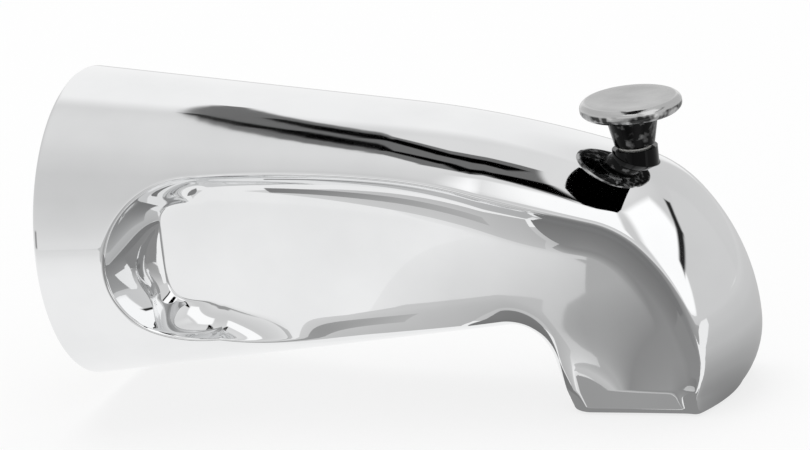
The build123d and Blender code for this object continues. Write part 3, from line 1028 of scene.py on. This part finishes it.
def floorMaterial():
    mat, tree = emptyMaterial("paleFloor")
    new, link = tree.nodes.new, tree.links.new
    white = stage["white"]
    matt = addNode(tree, "ShaderNodeBsdfDiffuse", Color=(white, white, white, 1))
    glow = addNode(tree, "ShaderNodeEmission", Color=(1, 1, 1, 1))
    mix, out = new("ShaderNodeMixShader"), new("ShaderNodeOutputMaterial")
    link(calculated(tree, "MULTIPLY", seenRay(tree), stage["veil"]), mix.inputs["Fac"])
    link(matt.outputs["BSDF"], mix.inputs[1])
    link(glow.outputs["Emission"], mix.inputs[2])
    link(mix.outputs["Shader"], out.inputs["Surface"])
    return mat


def makeFloor():
    half = stage["floorSize"] / 2
    level = stage["floorLevel"] * mm
    corners = ((-half, -half), (half, -half), (half, half), (-half, half))
    bm = bmesh.new()
    bm.faces.new([bm.verts.new((x, y, level)) for x, y in corners])
    made = meshObject("floor", bm)
    made.data.materials.append(floorMaterial())
    made.visible_glossy = False


def sheetMaterial():
    mat, tree = emptyMaterial("floorSheet")
    new, link = tree.nodes.new, tree.links.new
    shade, glow, out = new("ShaderNodeAttribute"), new("ShaderNodeEmission"), new("ShaderNodeOutputMaterial")
    shade.attribute_name = "shade"
    link(shade.outputs["Fac"], glow.inputs["Strength"])
    link(glow.outputs["Emission"], out.inputs["Surface"])
    return mat


def addSheet(name, faces, height, mat):
    bm = bmesh.new()
    layer = bm.verts.layers.float.new("shade")
    for corners in faces:
        ring = []
        for x, y, shade in corners:
            vert = bm.verts.new((x * mm, y * mm, height * mm))
            vert[layer] = shade
            ring.append(vert)
        bm.faces.new(ring)
    made = meshObject(name, bm)
    made.data.materials.append(mat)
    made.visible_camera = made.visible_diffuse = made.visible_shadow = False


def footFaces():
    def corner(ring, turn):
        angle = math.radians(turn)
        return footShade["x"] + ring[0] * math.cos(angle), footShade["y"] + ring[0] * math.sin(angle), ring[1]

    faces = []
    rings = footShade["rings"]
    for near, far in zip(rings, rings[1:]):
        for turn in range(footShade["first"], footShade["last"], footShade["step"]):
            after = turn + footShade["step"]
            faces.append((corner(near, turn), corner(far, turn), corner(far, after), corner(near, after)))
    return faces


def makeSheets():
    # each sheet lies a little higher than the last and hides what is under it
    mat = sheetMaterial()
    layers = [(sheet["name"], [sheet["corners"]]) for sheet in wideSheets] + [("footSheet", footFaces())]
    layers += [(sheet["name"], [sheet["corners"]]) for sheet in nearSheets]
    for number, (name, faces) in enumerate(layers, 1):
        addSheet(name, faces, stage["floorLevel"] + number * stage["sheetStep"], mat)
    board = [(x, y, darkBoard["shade"]) for x, y in darkBoard["corners"]]
    addSheet("darkBoard", [board], darkBoard["height"], mat)


def cardGroup():
    # a flat card with four straight edges, each given by the plane through the middle and that edge
    tree = bpy.data.node_groups.new("fourEdgeCard", "ShaderNodeTree")
    edges = [f"Edge {number}" for number in range(1, 5)]
    addSockets(tree, "INPUT", "Vector", "Direction", *edges)
    addSockets(tree, "INPUT", "Float", "Soft")
    addSockets(tree, "OUTPUT", "Float", "Mask")
    new, link = tree.nodes.new, tree.links.new
    given, out = new("NodeGroupInput"), new("NodeGroupOutput")
    least = None
    for label in edges:
        inside = new("ShaderNodeVectorMath")
        inside.operation = "DOT_PRODUCT"
        link(given.outputs["Direction"], inside.inputs[0])
        link(given.outputs[label], inside.inputs[1])
        depth = inside.outputs["Value"]
        least = calculated(tree, "MINIMUM", least, depth) if least else depth
    fade = new("ShaderNodeMapRange")
    fade.interpolation_type = "SMOOTHSTEP"
    link(least, fade.inputs["Value"])
    link(calculated(tree, "MULTIPLY", given.outputs["Soft"], -1.0), fade.inputs["From Min"])
    link(given.outputs["Soft"], fade.inputs["From Max"])
    link(fade.outputs["Result"], out.inputs["Mask"])
    return tree


def bearing(turn, rise):
    turn, rise = math.radians(turn), math.radians(rise)
    return Vector((math.sin(turn) * math.cos(rise), -math.cos(turn) * math.cos(rise), math.sin(rise)))


def cardEdges(corners):
    middle = sum(corners, Vector())
    edges = []
    for first, second in zip(corners, corners[1:] + corners[:1]):
        normal = first.cross(second).normalized()
        edges.append(normal if normal.dot(middle) > 0 else -normal)
    return edges


def skyShade(tree, direction):
    split, rise = tree.nodes.new("ShaderNodeSeparateXYZ"), tree.nodes.new("ShaderNodeValToRGB")
    tree.links.new(direction, split.inputs["Vector"])
    tree.links.new(mapped(tree, split.outputs["Z"], -1.0, 1.0), rise.inputs["Fac"])
    ramp = rise.color_ramp
    while len(ramp.elements) < len(skyShades):
        ramp.elements.new(1.0)
    for stop, (where, shade) in zip(ramp.elements, skyShades):
        stop.position = where
        stop.color = (shade, shade, shade, 1)
    return rise.outputs["Color"]


def makeWorld():
    # the chrome sees the shades and cards, the camera sees white, and the rest gets a plain fill
    world = bpy.data.worlds.new("studio")
    bpy.context.scene.world = world
    world.use_nodes = True
    tree = world.node_tree
    direction = tree.nodes.new("ShaderNodeTexCoord").outputs["Generated"]
    group = cardGroup()
    room = skyShade(tree, direction)
    hung = [(card, [bearing(*corner) for corner in card["corners"]]) for card in roomCards]
    hung += [(card, [Vector((x, y, 1)).normalized() for x, y in card["corners"]]) for card in overheadCards]
    for card, corners in hung:
        node = tree.nodes.new("ShaderNodeGroup")
        node.node_tree = group
        node.label = card["name"]
        tree.links.new(direction, node.inputs["Direction"])
        for number, edge in enumerate(cardEdges(corners), 1):
            node.inputs[f"Edge {number}"].default_value = edge
        node.inputs["Soft"].default_value = card["soft"]
        room = mixed(tree, node.outputs["Mask"], room, card["shade"])
    path = tree.nodes.new("ShaderNodeLightPath").outputs
    shown = mixed(tree, path["Is Camera Ray"], mixed(tree, path["Is Glossy Ray"], stage["fill"], room), 1.0)
    tree.links.new(shown, tree.nodes["Background"].inputs["Color"])


def makeLamp():
    data = bpy.data.lights.new("softTop", "AREA")
    data.shape = "RECTANGLE"
    data.size, data.size_y = softTop["size"]
    data.energy = softTop["power"]
    lamp = newObject("softTop", data)
    lamp.location = softTop["place"]
    aim = Vector(softTop["target"]) - Vector(softTop["place"])
    lamp.rotation_euler = aim.to_track_quat("-Z", "Y").to_euler()
    lamp.visible_glossy = False


def makeCamera():
    view = photoCamera
    data = bpy.data.cameras.new("photoCamera")
    data.sensor_width, data.lens = view["sensor"], view["lens"]
    data.clip_start, data.clip_end = view["near"], view["far"]
    camera = newObject("photoCamera", data)
    stand = Matrix.Translation(Vector(view["place"]) * mm)
    for degrees, axis in ((view["bearing"], "Z"), (90 - view["tilt"], "X"), (view["roll"], "Z")):
        stand = stand @ Matrix.Rotation(math.radians(degrees), 4, axis)
    camera.matrix_world = stand
    bpy.context.scene.camera = camera


makeFloor()
makeSheets()
makeWorld()
makeLamp()
makeCamera()
bpy.context.scene.view_settings.view_transform = "Standard"
print("stage ready")
